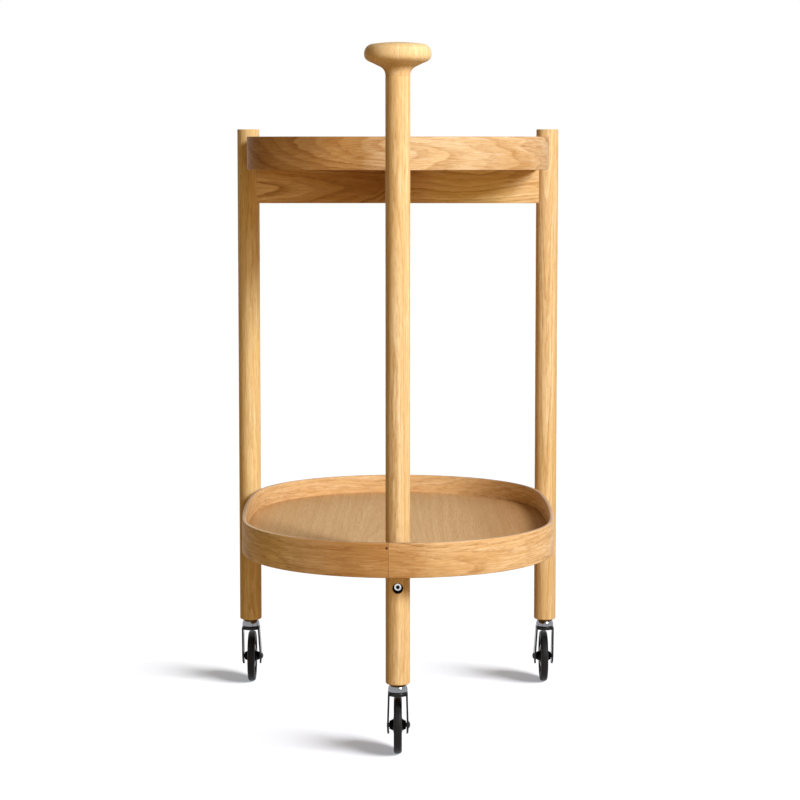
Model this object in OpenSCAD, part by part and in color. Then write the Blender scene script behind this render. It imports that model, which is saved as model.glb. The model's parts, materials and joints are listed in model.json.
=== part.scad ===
// Bar cart in oak: two oval bent-rim trays on three round legs, a turned knob on the front leg
// to steer it by, and a swivel caster under each leg.
// Millimetres. +X is right, +Y is back, +Z is up. The origin is on the floor, under the middle
// of the lower tray.

/* [Legs] */
// Diameter of the three legs
leg_d = 32; // [28:1:38]
// Chamfer around the foot of each leg
leg_foot_chamfer = 1.2; // [0.6:0.2:4]
// Chamfer around the top of each rear leg
leg_top_chamfer = 0.8; // [0.4:0.2:2]
// Height of the rear legs above the upper tray's rim
rear_leg_rise = 11; // [3:1:40]
// Height of the front leg above the upper tray's rim
front_leg_rise = 77; // [50:1:120]
// From the lower tray's front edge to the middle of the front leg
front_leg_inset = 57; // [40:1:90]
// Where the rear legs touch the lower tray's rear corners, in degrees back from straight sideways
rear_leg_angle = 17.4; // [10:0.2:24]
// Gap between a rear leg and a tray's rim
leg_gap = 0.2; // [0.1:0.05:0.6]

/* [Lower tray] */
// Width of the lower tray
lower_w = 432; // [400:2:470]
// Length of the lower tray, front to back
lower_l = 596; // [540:2:650]
// Sideways distance from the middle to the centres of the lower tray's corner arcs
lower_corner_x = 17; // [14:1:60]
// How far the lower tray's long sides bow out past its corners
lower_side_bow = 4; // [2:0.5:8]
// How far the lower tray's ends bow out past its corners
lower_end_bow = 4; // [2:0.5:12]
// Height of the lower tray's underside above the legs' feet
lower_rise = 150; // [120:1:220]

/* [Upper tray] */
// How much narrower the upper tray is than the lower one, on each side
upper_inset = 3; // [0:0.5:6]
// Length of the upper tray, front to back
upper_l = 320; // [280:2:360]
// Radius of the upper tray's corners
upper_corner_r = 100; // [80:1:120]
// How far the upper tray's short sides bow out past its corners
upper_side_bow = 3; // [2:0.5:6]
// How far the upper tray's ends bow out past its corners
upper_end_bow = 5; // [2:0.5:10]
// Height of the upper tray's underside above the legs' feet
upper_rise = 668; // [540:1:760]

/* [Tray section] */
// Height of the bent rims
rim_h = 45.5; // [36:0.5:60]
// Thickness of the bent rims
rim_t = 5; // [4:0.5:7]
// Thickness of the tray boards
board_t = 19; // [16:1:24]
// Glue line between a board and its rim
glue_line = 0.05; // [0.02:0.01:0.1]

/* [Frame] */
// Height of the rails and stretchers
rail_h = 51; // [46:1:64]
// Thickness of the rails and stretchers
rail_t = 20; // [18:1:24]
// Diameter of the frame dowels
dowel_d = 8; // [6:1:10]
// How far a dowel reaches into a rail or stretcher
dowel_in_rail = 22; // [16:1:30]
// How far a dowel reaches into a leg
dowel_in_leg = 15; // [10:1:20]
// How far a dowel reaches into the rail's face where the stretcher meets it
dowel_in_face = 12; // [8:1:15]
// Distance between the two dowels of a joint
dowel_pitch = 26; // [20:1:32]
// Clearance around dowels, screws, inserts and other fitted pins
pin_fit = 0.05; // [0.02:0.01:0.1]
// Room left past the end of a pin in its blind hole
blind_room = 0.5; // [0.3:0.1:2]

/* [Front bolt] */
// Diameter of the bolt's shank
bolt_d = 6; // [5:1:8]
// Length of the bolt's shank
bolt_l = 62; // [56:1:76]
// Diameter of the bolt's round head
bolt_head_d = 10.4; // [9:0.1:13]
// Height of the bolt's head
bolt_head_h = 6; // [4:0.5:8]
// Width across the flats of the hexagon socket in the bolt's head
bolt_socket_w = 5; // [4:0.5:6]
// Diameter of the counterbore in the front leg
bolt_sink_d = 14; // [13:0.5:18]
// Depth from the leg's surface to the face of the bolt's head
bolt_recess = 9; // [6:0.5:11]
// Height of the bolt below the lower tray's underside
bolt_drop = 21.5; // [18:0.5:26]
// Diameter of the barrel nut
barrel_d = 10; // [9:0.5:12]
// Length of the barrel nut
barrel_l = 15; // [12:0.5:17]
// From the tip of the bolt to the middle of the barrel nut
barrel_back = 8; // [6:0.5:12]

/* [Tray screws] */
// Diameter of the tray screws
screw_d = 4; // [3:0.5:5]
// Diameter of the countersunk screw heads
screw_head_d = 8; // [6:0.5:9]
// Length of the tray screws
screw_l = 35; // [30:1:40]
// How far a tray screw goes into the board
screw_bite = 13; // [10:0.5:15]
// Sideways distance from the middle to the screws in the rear rails
screw_x = 110; // [70:5:150]
// From the middle of the rail to the nearer screw in a stretcher
screw_rear_y = 70; // [50:5:80]
// From the middle of the front leg to the farther screw in the lower stretcher
screw_front_y = 90; // [60:5:120]
// From the upper tray's front edge to the farther screw in the upper stretcher
screw_edge_y = 60; // [45:5:80]

/* [Knob] */
// Diameter of the knob at its widest
knob_d = 86.4; // [70:0.5:100]
// Height of the knob's straight neck above the leg
knob_neck = 0.8; // [0.2:0.1:6]
// Radius of the hollow under the knob
knob_cove_r = 12; // [8:0.5:16]
// Slope of the knob's underside, in degrees
knob_flare = 25.6; // [18:0.2:40]
// Radius of the knob's lower edge
knob_lip_r = 9; // [6:0.5:11]
// Height of the straight band around the knob
knob_band = 1.6; // [0.5:0.1:5]
// Radius of the knob's upper edge
knob_edge_r = 12; // [8:0.5:15]
// Radius of the knob's flat dome
knob_dome_r = 234; // [120:1:400]
// Chamfer on both sides of the seam between the knob and the leg
knob_seam = 0.4; // [0.2:0.1:1]
// Diameter of the dowel that holds the knob
knob_dowel_d = 12; // [10:1:16]
// How far the knob's dowel reaches into the knob
knob_dowel_up = 24; // [16:1:28]
// How far the knob's dowel reaches into the leg
knob_dowel_down = 30; // [20:1:40]

/* [Casters] */
// Height of a caster, from the floor to the leg's foot
caster_h = 100; // [92:1:110]
// Diameter of a wheel
wheel_d = 75; // [68:1:80]
// Width of a tyre
tyre_w = 10.8; // [9:0.2:14]
// Thickness of a tyre
tyre_t = 8; // [6:0.5:10]
// Radius of a tyre's shoulders
tyre_shoulder = 3.6; // [2:0.2:4]
// From the swivel's axis back to the wheel's axis
trail = 26; // [20:1:32]
// Diameter of the swivel crown
crown_d = 26.2; // [24:0.2:30]
// Height of the swivel crown
crown_h = 5.2; // [4.6:0.1:7]
// Radius around the crown's upper edge
crown_edge_r = 2.2; // [0.8:0.2:2.2]
// Thickness of the fork's plate
fork_t = 2.5; // [2.3:0.1:2.8]
// Width across the fork at the wheel's axle
fork_w = 28.5; // [27:0.1:32]
// Width across the tips of the fork
fork_tip_w = 27; // [25:0.1:30]
// Width of a fork arm where it leaves the crown
fork_root_w = 20; // [14:1:22]
// Radius of the fork's lower ends, around the axle
fork_end_r = 11.6; // [9:0.2:13]
// Half the height of the flat place around the axle
fork_flat = 5; // [4:0.5:6]
// Diameter of the axle
axle_d = 6; // [5:0.5:7]
// Diameter of the axle's domed head
axle_head_d = 10.2; // [8:0.2:11]
// Height of the axle's domed head
axle_head_h = 2.4; // [1.5:0.1:3]
// Running clearance between two turning pieces, on the radius
running_fit = 0.05; // [0.02:0.01:0.1]
// Gap between each end of the hub and the fork
hub_gap = 0.7; // [0.5:0.1:0.9]
// Diameter of the hub at its ends
hub_end_d = 11; // [10:0.2:13]
// Diameter of the hub at the web
hub_root_d = 15.6; // [14:0.2:18]
// Thickness of the wheel's web where it meets the hub
web_root_t = 12.4; // [8:0.2:14]
// Thickness of the wheel's web where it meets the rim
web_t = 4; // [3:0.2:6]
// Depth of the wheel's rim under the tyre
wheel_rim_t = 3; // [2:0.2:5]
// Width of the wheel's rim under the tyre
wheel_rim_w = 8.4; // [7:0.2:9]
// Slope left in the corner between the web and the rim
rim_slope = 1; // [0.4:0.2:2]
// Chamfer on the ends of the hub
hub_chamfer = 0.5; // [0.2:0.1:1]

/* [Caster cups and stems] */
// Height of the chrome cup
cup_h = 10; // [8:0.5:12]
// Diameter of the cup where it meets the leg
cup_top_d = 17.5; // [16:0.5:20]
// Thickness of the cup's wall
cup_wall = 1.2; // [0.8:0.1:1.6]
// Thickness of the cup's flat top
cup_top_t = 2.4; // [1.6:0.2:3]
// Height of the cup's straight lower edge
cup_edge_h = 1.2; // [0.8:0.1:2]
// How far the cup's edge stays inside the edge of the crown
cup_inset = 0.1; // [0.1:0.1:1]
// Gap under the cup, above the crown
cup_gap = 0.5; // [0.3:0.1:0.8]
// Diameter of the stem
stem_d = 10; // [8:0.5:11]
// How far the stem reaches into the leg
stem_l = 34; // [26:1:42]
// Diameter of the riveted head that holds the fork on the stem
rivet_d = 15; // [13:0.5:18]
// Height of the riveted head
rivet_h = 2; // [1.5:0.1:2.2]
// Play between the riveted head and the crown
rivet_play = 0.3; // [0.2:0.05:0.5]
// Outer diameter of the bearing ring inside the cup
ring_d = 17; // [15:0.5:18]
// Height of the bearing ring
ring_h = 3; // [2:0.2:3.6]
// Outer diameter of the insert in the leg's foot
insert_d = 14; // [13:0.5:17]
// Length of the insert
insert_l = 24; // [18:1:30]

/* [Hidden] */

round_fn = 96;
oval_fn = 360;
// How much wider the corner arcs of an oval are drawn, so that they cross its other arcs cleanly
oval_ease = 0.03;
// How far a cut runs past the surface it starts from
hole_past = 1;

// An oval is [width, length, corner radius, side bow, end bow]. Its corner arcs are centred at
// oval_corner(o), and its side and end arcs meet them tangent, at the two angles below.
function oval_corner(o) = [o[0] / 2 - o[2] - o[3], o[1] / 2 - o[2] - o[4]];
function oval_side_r(o) =
    (pow(oval_corner(o).y, 2) + 2 * o[2] * o[3] + pow(o[3], 2)) / (2 * o[3]);
function oval_end_r(o) =
    (pow(oval_corner(o).x, 2) + 2 * o[2] * o[4] + pow(o[4], 2)) / (2 * o[4]);
function oval_side_angle(o) =
    atan2(oval_corner(o).y, oval_corner(o).x - o[0] / 2 + oval_side_r(o));
function oval_end_angle(o) =
    atan2(oval_corner(o).y - o[1] / 2 + oval_end_r(o), oval_corner(o).x);
function oval_inside(o, t) = [o[0] - 2 * t, o[1] - 2 * t, o[2] - t, o[3], o[4]];
function on_circle(centre, radius, angle) = centre + radius * [cos(angle), sin(angle)];

leg_r = leg_d / 2;
rim_reach = leg_r + leg_gap;
lower_corner_r = lower_w / 2 - lower_side_bow - lower_corner_x;
lower_oval = [lower_w, lower_l, lower_corner_r, lower_side_bow, lower_end_bow];
upper_oval = [lower_w - 2 * upper_inset, upper_l, upper_corner_r, upper_side_bow, upper_end_bow];
front_leg_at = [0, front_leg_inset - lower_l / 2];
rear_leg_at = on_circle(oval_corner(lower_oval), lower_corner_r + rim_reach, rear_leg_angle);
rail_y = rear_leg_at.y;
upper_corner_back = sqrt(
    pow(upper_corner_r + rim_reach, 2) - pow(rear_leg_at.x - oval_corner(upper_oval).x, 2)
);
upper_y = rail_y - upper_corner_back - oval_corner(upper_oval).y;

lower_z = caster_h + lower_rise;
upper_z = caster_h + upper_rise;
lower_rim_top = lower_z + rim_h;
upper_rim_top = upper_z + rim_h;
rear_leg_top = upper_rim_top + rear_leg_rise;
front_leg_top = upper_rim_top + front_leg_rise;

leg_spots = [front_leg_at, [-rear_leg_at.x, rear_leg_at.y], rear_leg_at];
oak = [0.85, 0.66, 0.42];
oak_board = [0.80, 0.66, 0.46];
beech = [0.88, 0.74, 0.55];
steel = [0.75, 0.76, 0.78];
black = [0.08, 0.08, 0.085];
rubber = [0.17, 0.17, 0.175];
nylon = [0.25, 0.25, 0.26];

// Round pieces

module turned(points) {
    rotate_extrude($fn = round_fn) polygon(points);
}

module turned_rod(r, z0, z1, c0, c1) {
    turned([[0, z0], [r - c0, z0], [r, z0 + c0], [r, z1 - c1], [r - c1, z1], [0, z1]]);
}

module bore(r, z0, z1) {
    translate([0, 0, z0]) cylinder(h = z1 - z0, r = r, $fn = round_fn);
}

// A dowel from the origin along +X, from -back to +ahead, with chamfered ends
module dowel(d, back, ahead) {
    rotate([0, 90, 0]) turned_rod(d / 2, -back, ahead, 1, 1);
}

module dowel_hole(d, back, ahead) {
    rotate([0, 90, 0]) bore(d / 2 + pin_fit, -back, ahead);
}

// Ovals

// Everything in front of the oval's back end
module oval_end_limit(o) {
    end_r = oval_end_r(o);
    corner = oval_corner(o);
    shoulder_y = corner.y + o[2] * (sin(oval_side_angle(o)) + sin(oval_end_angle(o))) / 2;
    translate([0, o[1] / 2 - end_r]) circle(end_r, $fn = oval_fn);
    translate([-o[0], -o[1]]) square([2 * o[0], o[1] + shoulder_y]);
}

module oval(o) {
    corner = oval_corner(o);
    side_r = oval_side_r(o);
    side_end = on_circle(corner, o[2], oval_side_angle(o));
    end_end = on_circle(corner, o[2], oval_end_angle(o));
    difference() {
        intersection() {
            translate([o[0] / 2 - side_r, 0]) circle(side_r, $fn = oval_fn);
            translate([side_r - o[0] / 2, 0]) circle(side_r, $fn = oval_fn);
            oval_end_limit(o);
            mirror([0, 1]) oval_end_limit(o);
        }
        for (sx = [0, 1], sy = [0, 1]) mirror([sx, 0]) mirror([0, sy]) difference() {
            polygon([side_end, [o[0], side_end.y], [o[0], o[1]], [end_end.x, o[1]], end_end]);
            translate(corner) circle(o[2] + oval_ease, $fn = oval_fn);
        }
    }
}

module tray_rim(o, z) {
    translate([0, 0, z]) linear_extrude(rim_h) difference() {
        oval(o);
        oval(oval_inside(o, rim_t));
    }
}

module tray_board(o, z) {
    translate([0, 0, z]) linear_extrude(board_t) oval(oval_inside(o, rim_t + glue_line));
}

// Legs and knob

// Holes for the two dowels of a joint, from the origin along +X
module joint_holes(z, back, ahead) {
    for (side = [-1, 1])
        translate([0, 0, z + side * dowel_pitch / 2])
            dowel_hole(dowel_d, back + blind_room, ahead + blind_room);
}

module joint_dowels(z, back, ahead) {
    for (side = [-1, 1])
        translate([0, 0, z + side * dowel_pitch / 2]) dowel(dowel_d, back, ahead);
}

upper_joint_z = upper_z - rail_h / 2;
lower_joint_z = lower_z - rail_h / 2;
bolt_z = lower_z - bolt_drop;
bolt_head_y = front_leg_at.y - leg_r + bolt_recess;
bolt_seat_y = bolt_head_y + bolt_head_h;
bolt_tip_y = bolt_seat_y + bolt_l;
barrel_y = bolt_tip_y - barrel_back;
lower_pin_z = lower_z - rail_h + (rail_h - bolt_drop - bolt_sink_d / 2) / 2;

module leg_foot_holes() {
    bore(insert_d / 2 + pin_fit, caster_h - hole_past, caster_h + insert_l + blind_room);
    bore(stem_d / 2 + pin_fit, caster_h, caster_h + stem_l + blind_room);
}

module front_leg() {
    color(oak) translate(front_leg_at) difference() {
        turned_rod(leg_r, caster_h, front_leg_top, leg_foot_chamfer, knob_seam);
        leg_foot_holes();
        bore(knob_dowel_d / 2 + pin_fit, front_leg_top - knob_dowel_down - blind_room,
            front_leg_top + hole_past);
        rotate(90) translate([leg_r, 0, 0]) joint_holes(upper_joint_z, dowel_in_leg, leg_r);
        rotate(90) translate([leg_r, 0, lower_pin_z])
            dowel_hole(dowel_d, dowel_in_leg + blind_room, leg_r);
        translate([0, -leg_r - hole_past, bolt_z]) rotate([-90, 0, 0])
            bore(bolt_sink_d / 2, 0, hole_past + bolt_recess + bolt_head_h);
        translate([0, 0, bolt_z]) rotate([-90, 0, 0]) bore(bolt_d / 2 + pin_fit, -leg_r, leg_d);
    }
}

module rear_leg() {
    difference() {
        turned_rod(leg_r, caster_h, rear_leg_top, leg_foot_chamfer, leg_top_chamfer);
        leg_foot_holes();
        for (z = [lower_joint_z, upper_joint_z])
            translate([leg_r, 0, 0]) joint_holes(z, dowel_in_leg, leg_r);
    }
}

module rear_left_leg() {
    color(oak) translate([-rear_leg_at.x, rear_leg_at.y]) rear_leg();
}

module rear_right_leg() {
    color(oak) translate(rear_leg_at) mirror([1, 0, 0]) rear_leg();
}

knob_r = knob_d / 2;
knob_cove_at = [leg_r + knob_cove_r, knob_neck];
knob_cove_end = knob_cove_at + knob_cove_r * [-sin(knob_flare), cos(knob_flare)];
knob_lip_x = knob_r - knob_lip_r + knob_lip_r * sin(knob_flare);
knob_lip_start = [
    knob_lip_x, knob_cove_end.y + (knob_lip_x - knob_cove_end.x) * tan(knob_flare)
];
knob_lip_at = knob_lip_start + knob_lip_r * [-sin(knob_flare), cos(knob_flare)];
knob_edge_at = [knob_r - knob_edge_r, knob_lip_at.y + knob_band];
knob_dome_z = knob_edge_at.y - sqrt(pow(knob_dome_r - knob_edge_r, 2) - pow(knob_edge_at.x, 2));
knob_dome_from = on_circle([0, knob_dome_z], knob_dome_r,
    atan2(knob_edge_at.y - knob_dome_z, knob_edge_at.x));

module knob_half_profile() {
    difference() {
        union() {
            polygon([
                [0, 0], [leg_r - knob_seam, 0], [leg_r, knob_seam], knob_cove_at - [knob_cove_r, 0],
                knob_cove_end, knob_lip_start, knob_lip_at, [knob_r, knob_lip_at.y],
                [knob_r, knob_edge_at.y], knob_edge_at, knob_dome_from, [0, knob_dome_from.y]
            ]);
            translate(knob_lip_at) circle(knob_lip_r, $fn = round_fn);
            translate(knob_edge_at) circle(knob_edge_r, $fn = round_fn);
            intersection() {
                translate([0, knob_dome_z]) circle(knob_dome_r, $fn = oval_fn);
                translate([0, knob_dome_from.y]) square([knob_dome_from.x, knob_r]);
            }
        }
        translate(knob_cove_at) circle(knob_cove_r, $fn = round_fn);
    }
}

module handle_knob() {
    color(oak) translate([0, front_leg_at.y, front_leg_top]) difference() {
        rotate_extrude($fn = round_fn) knob_half_profile();
        bore(knob_dowel_d / 2 + pin_fit, -hole_past, knob_dowel_up + blind_room);
    }
}

module knob_dowel() {
    color(beech) translate([0, front_leg_at.y, front_leg_top])
        turned_rod(knob_dowel_d / 2, -knob_dowel_down, knob_dowel_up, 1, 1);
}

// Trays

module upper_tray_rim() {
    color(oak) translate([0, upper_y]) tray_rim(upper_oval, upper_z);
}

module lower_tray_rim() {
    color(oak) tray_rim(lower_oval, lower_z);
}

screw_head_h = (screw_head_d - screw_d) / 2;
screw_point_h = screw_d;
upper_screws = [
    [-screw_x, rail_y], [screw_x, rail_y], [0, rail_y - screw_rear_y],
    [0, upper_y - upper_l / 2 + screw_edge_y]
];
lower_screws = [
    [-screw_x, rail_y], [screw_x, rail_y], [0, rail_y - screw_rear_y],
    [0, front_leg_at.y + screw_front_y]
];

module screw_holes(spots, z) {
    for (spot = spots) translate(spot) {
        bore(screw_d / 2 + pin_fit, z - rail_h, z + screw_bite + blind_room);
        bore(screw_head_d / 2 + pin_fit, z - rail_h - hole_past, z + screw_bite - screw_l + screw_head_h);
    }
}

module upper_tray_board() {
    color(oak_board) difference() {
        translate([0, upper_y]) tray_board(upper_oval, upper_z);
        screw_holes(upper_screws, upper_z);
    }
}

module lower_tray_board() {
    color(oak_board) difference() {
        tray_board(lower_oval, lower_z);
        translate(front_leg_at) bore(leg_r + glue_line, lower_z - hole_past, lower_rim_top);
        screw_holes(lower_screws, lower_z);
    }
}

// A countersunk wood screw with its tip up at height z
module tray_screw(z) {
    r = screw_d / 2;
    head_r = screw_head_d / 2;
    slot = screw_d * 0.3;
    translate([0, 0, z - screw_l]) difference() {
        turned([
            [0, 0], [head_r, 0], [head_r, screw_head_h * 0.15], [r, screw_head_h],
            [r, screw_l - screw_point_h], [0, screw_l]
        ]);
        for (turn = [0, 90]) rotate(turn)
            translate([-r, -slot / 2, -hole_past]) cube([screw_d, slot, hole_past + screw_head_h * 0.7]);
    }
}

module tray_screws() {
    color(steel) {
        for (spot = upper_screws) translate(spot) tray_screw(upper_z + screw_bite);
        for (spot = lower_screws) translate(spot) tray_screw(lower_z + screw_bite);
    }
}

// Frames under the trays: a rail between the rear legs, and a stretcher from it to the front leg

module rear_rail(z, spots) {
    difference() {
        translate([-rear_leg_at.x, rail_y - rail_t / 2, z - rail_h])
            cube([2 * rear_leg_at.x, rail_t, rail_h]);
        for (side = [0, 1]) mirror([side, 0, 0]) translate(rear_leg_at) {
            bore(leg_r + glue_line, z - rail_h - hole_past, z + hole_past);
            rotate(180) translate([leg_r, 0, 0]) joint_holes(z - rail_h / 2, leg_r, dowel_in_rail);
        }
        screw_holes(spots, z);
    }
}

module stretcher_bar(z) {
    front = front_leg_at.y;
    difference() {
        translate([-rail_t / 2, front, z - rail_h])
            cube([rail_t, rail_y - rail_t / 2 - front, rail_h]);
        translate(front_leg_at) bore(leg_r + glue_line, z - rail_h - hole_past, z + hole_past);
    }
}

// Puts its children where the stretchers meet the rails, with +X pointing to the front
module at_rail_face() {
    translate([0, rail_y - rail_t / 2, 0]) rotate(-90) children();
}

// Puts its children on the front leg's back, with +X pointing to the rear
module at_leg_back() {
    translate(front_leg_at) rotate(90) translate([leg_r, 0, 0]) children();
}

module upper_rear_rail() {
    color(oak) difference() {
        rear_rail(upper_z, upper_screws);
        at_rail_face() joint_holes(upper_joint_z, dowel_in_face, 0);
    }
}

module upper_stretcher() {
    color(oak) difference() {
        stretcher_bar(upper_z);
        at_rail_face() joint_holes(upper_joint_z, 0, dowel_in_rail);
        at_leg_back() joint_holes(upper_joint_z, leg_r, dowel_in_rail);
        screw_holes(upper_screws, upper_z);
    }
}

module lower_rear_rail() {
    color(oak) difference() {
        rear_rail(lower_z, lower_screws);
        at_rail_face() joint_holes(lower_joint_z, dowel_in_face, 0);
    }
}

module lower_stretcher() {
    color(oak) difference() {
        stretcher_bar(lower_z);
        at_rail_face() joint_holes(lower_joint_z, 0, dowel_in_rail);
        at_leg_back() translate([0, 0, lower_pin_z])
            dowel_hole(dowel_d, leg_r, dowel_in_rail + blind_room);
        translate([0, 0, bolt_z]) rotate([-90, 0, 0])
            bore(bolt_d / 2 + pin_fit, front_leg_at.y, bolt_tip_y + blind_room);
        translate([0, barrel_y, bolt_z]) rotate([0, 90, 0])
            bore(barrel_d / 2 + pin_fit, -rail_t / 2 - hole_past, barrel_l / 2 + blind_room);
        screw_holes(lower_screws, lower_z);
    }
}

module rear_leg_dowels(z) {
    for (side = [0, 1]) mirror([side, 0, 0]) translate(rear_leg_at) rotate(180)
        translate([leg_r, 0, 0]) joint_dowels(z, dowel_in_leg, dowel_in_rail);
}

module upper_frame_dowels() {
    color(beech) {
        rear_leg_dowels(upper_joint_z);
        at_rail_face() joint_dowels(upper_joint_z, dowel_in_face, dowel_in_rail);
        at_leg_back() joint_dowels(upper_joint_z, dowel_in_leg, dowel_in_rail);
    }
}

module lower_frame_dowels() {
    color(beech) {
        rear_leg_dowels(lower_joint_z);
        at_rail_face() joint_dowels(lower_joint_z, dowel_in_face, dowel_in_rail);
        at_leg_back() translate([0, 0, lower_pin_z]) dowel(dowel_d, dowel_in_leg, dowel_in_rail);
    }
}

// The bolt through the front leg into the lower stretcher

module front_bolt() {
    edge = 0.6;
    r = bolt_head_d / 2;
    color(steel) translate([0, bolt_head_y, bolt_z]) rotate([-90, 0, 0]) difference() {
        turned([
            [0, 0], [r - edge, 0], [r, edge], [r, bolt_head_h], [bolt_d / 2, bolt_head_h],
            [bolt_d / 2, bolt_head_h + bolt_l - edge], [bolt_d / 2 - edge, bolt_head_h + bolt_l],
            [0, bolt_head_h + bolt_l]
        ]);
        translate([0, 0, -hole_past])
            cylinder(h = hole_past + bolt_head_h / 2, d = bolt_socket_w / cos(30), $fn = 6);
    }
}

module barrel_nut() {
    slot = 1.4;
    color(steel) translate([0, barrel_y, bolt_z]) difference() {
        rotate([0, 90, 0]) turned_rod(barrel_d / 2, -barrel_l / 2, barrel_l / 2, 0.6, 0.6);
        rotate([90, 0, 0]) bore(bolt_d / 2 + pin_fit, -barrel_d, barrel_d);
        translate([-barrel_l / 2 - hole_past, -barrel_d, -slot / 2])
            cube([hole_past + slot, 2 * barrel_d, slot]);
    }
}

// Casters, each drawn with its swivel axis on the Z axis and its wheel trailing towards +Y

crown_top = caster_h - cup_h - cup_gap;
crown_bottom = crown_top - crown_h;
crown_r = crown_d / 2;
wheel_r = wheel_d / 2;
stem_r = stem_d / 2;
cup_bottom = caster_h - cup_h;
fork_low = wheel_r - fork_end_r;
axle_r = axle_d / 2;

module stem_inserts() {
    color(steel) for (spot = leg_spots) translate(spot) difference() {
        turned_rod(insert_d / 2, caster_h, caster_h + insert_l, 0.4, 1);
        bore(stem_r + pin_fit, caster_h - hole_past, caster_h + insert_l + hole_past);
    }
}

module caster_stem() {
    rivet_top = crown_top - fork_t - rivet_play;
    edge = 0.5;
    color(steel) turned([
        [0, rivet_top - rivet_h], [rivet_d / 2 - edge, rivet_top - rivet_h],
        [rivet_d / 2, rivet_top - rivet_h + edge], [rivet_d / 2, rivet_top], [stem_r, rivet_top],
        [stem_r, caster_h + stem_l - edge], [stem_r - edge, caster_h + stem_l], [0, caster_h + stem_l]
    ]);
}

// The cup: a dome with an arc that runs straight down into its lower edge
module cup_dome_profile(radius, at, height) {
    intersection() {
        translate(at) circle(radius, $fn = oval_fn);
        translate([0, at.y]) square([crown_d, height]);
    }
}

module caster_cup() {
    low_r = crown_r - cup_inset;
    dome_h = cup_h - cup_edge_h;
    dome_drop = low_r - cup_top_d / 2;
    dome_r = (pow(dome_h, 2) + pow(dome_drop, 2)) / (2 * dome_drop);
    dome_at = [low_r - dome_r, cup_bottom + cup_edge_h];
    color(steel) rotate_extrude($fn = round_fn) difference() {
        union() {
            translate([0, cup_bottom]) square([low_r, cup_edge_h]);
            cup_dome_profile(dome_r, dome_at, dome_h);
        }
        translate([0, cup_bottom - hole_past]) square([low_r - cup_wall, cup_edge_h + hole_past]);
        cup_dome_profile(dome_r - cup_wall, dome_at, dome_h - cup_top_t);
        translate([-hole_past, cup_bottom]) square([stem_r + pin_fit + hole_past, cup_h + hole_past]);
    }
}

module caster_ring() {
    color(nylon) difference() {
        turned_rod(ring_d / 2, crown_top + cup_gap / 2, crown_top + cup_gap / 2 + ring_h, 0.4, 0.4);
        bore(stem_r + pin_fit, crown_bottom, caster_h);
    }
}

// The bent fork seen from the front: a strip down each side, straight around the axle
module fork_front_profile() {
    for (side = [0, 1]) mirror([side, 0]) polygon([
        [crown_r, crown_top - crown_edge_r], [crown_r, crown_bottom],
        [fork_w / 2, wheel_r + fork_flat], [fork_w / 2, wheel_r - fork_flat],
        [fork_tip_w / 2, fork_low - hole_past],
        [fork_tip_w / 2 - fork_t, fork_low - hole_past],
        [fork_w / 2 - fork_t, wheel_r - fork_flat], [fork_w / 2 - fork_t, wheel_r + fork_flat],
        [crown_r - fork_t, crown_bottom], [crown_r - fork_t, crown_top - crown_edge_r]
    ]);
}

function tangent_angle(from, centre, radius, side) =
    atan2(from.y - centre.y, from.x - centre.x)
    + side * acos(radius / norm(from - centre));

// The fork's arm seen from the side: it tapers from the crown to the round end at the axle
module fork_side_profile() {
    end = [trail, wheel_r];
    front = [-fork_root_w / 2, crown_bottom];
    back = [fork_root_w / 2, crown_bottom];
    polygon([
        [-fork_root_w / 2, crown_top], front,
        on_circle(end, fork_end_r, tangent_angle(front, end, fork_end_r, 1)), end,
        on_circle(end, fork_end_r, tangent_angle(back, end, fork_end_r, -1)),
        back, [fork_root_w / 2, crown_top]
    ]);
    translate(end) circle(fork_end_r, $fn = round_fn);
}

module caster_fork() {
    depth = trail + wheel_d;
    color(black) difference() {
        union() {
            rotate_extrude($fn = round_fn) {
                translate([0, crown_top - fork_t]) square([crown_r - crown_edge_r, fork_t]);
                translate([crown_r - fork_t, crown_bottom])
                    square([fork_t, crown_h - crown_edge_r]);
                intersection() {
                    translate([crown_r - crown_edge_r, crown_top - crown_edge_r])
                        circle(crown_edge_r, $fn = round_fn);
                    translate([crown_r - crown_edge_r, crown_top - crown_edge_r])
                        square(crown_edge_r);
                }
                translate([crown_r - fork_t, crown_top - fork_t])
                    square([fork_t - crown_edge_r, fork_t]);
                translate([crown_r - fork_t, crown_top - fork_t])
                    square([fork_t, fork_t - crown_edge_r]);
            }
            intersection() {
                translate([0, depth, 0]) rotate([90, 0, 0])
                    linear_extrude(2 * depth) fork_front_profile();
                translate([-fork_w, 0, 0]) rotate([90, 0, 90])
                    linear_extrude(2 * fork_w) fork_side_profile();
            }
        }
        bore(stem_r + running_fit, crown_bottom - hole_past, crown_top + hole_past);
        translate([0, trail, wheel_r]) rotate([0, 90, 0])
            bore(axle_r + pin_fit, -fork_w, fork_w);
    }
}

// The axle, with its domed head at +X
module axle() {
    flush = 0.3;
    dome_r = (pow(axle_head_d / 2, 2) + pow(axle_head_h, 2)) / (2 * axle_head_h);
    translate([0, trail, wheel_r]) rotate([0, 90, 0]) {
        turned_rod(axle_r, -fork_w / 2 - flush, fork_w / 2 + flush, 0.5, 0.1);
        rotate_extrude($fn = round_fn) intersection() {
            translate([0, fork_w / 2 + axle_head_h - dome_r]) circle(dome_r, $fn = round_fn);
            translate([0, fork_w / 2]) square([axle_head_d, axle_head_h]);
        }
    }
}

module caster_axle(side) {
    color(steel) mirror([side < 0 ? 1 : 0, 0, 0]) axle();
}

module wheel_turned() {
    translate([0, trail, wheel_r]) rotate([0, 90, 0]) rotate_extrude($fn = round_fn) children();
}

tyre_inner_r = wheel_r - tyre_t;
hub_half = fork_w / 2 - fork_t - hub_gap;

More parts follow.
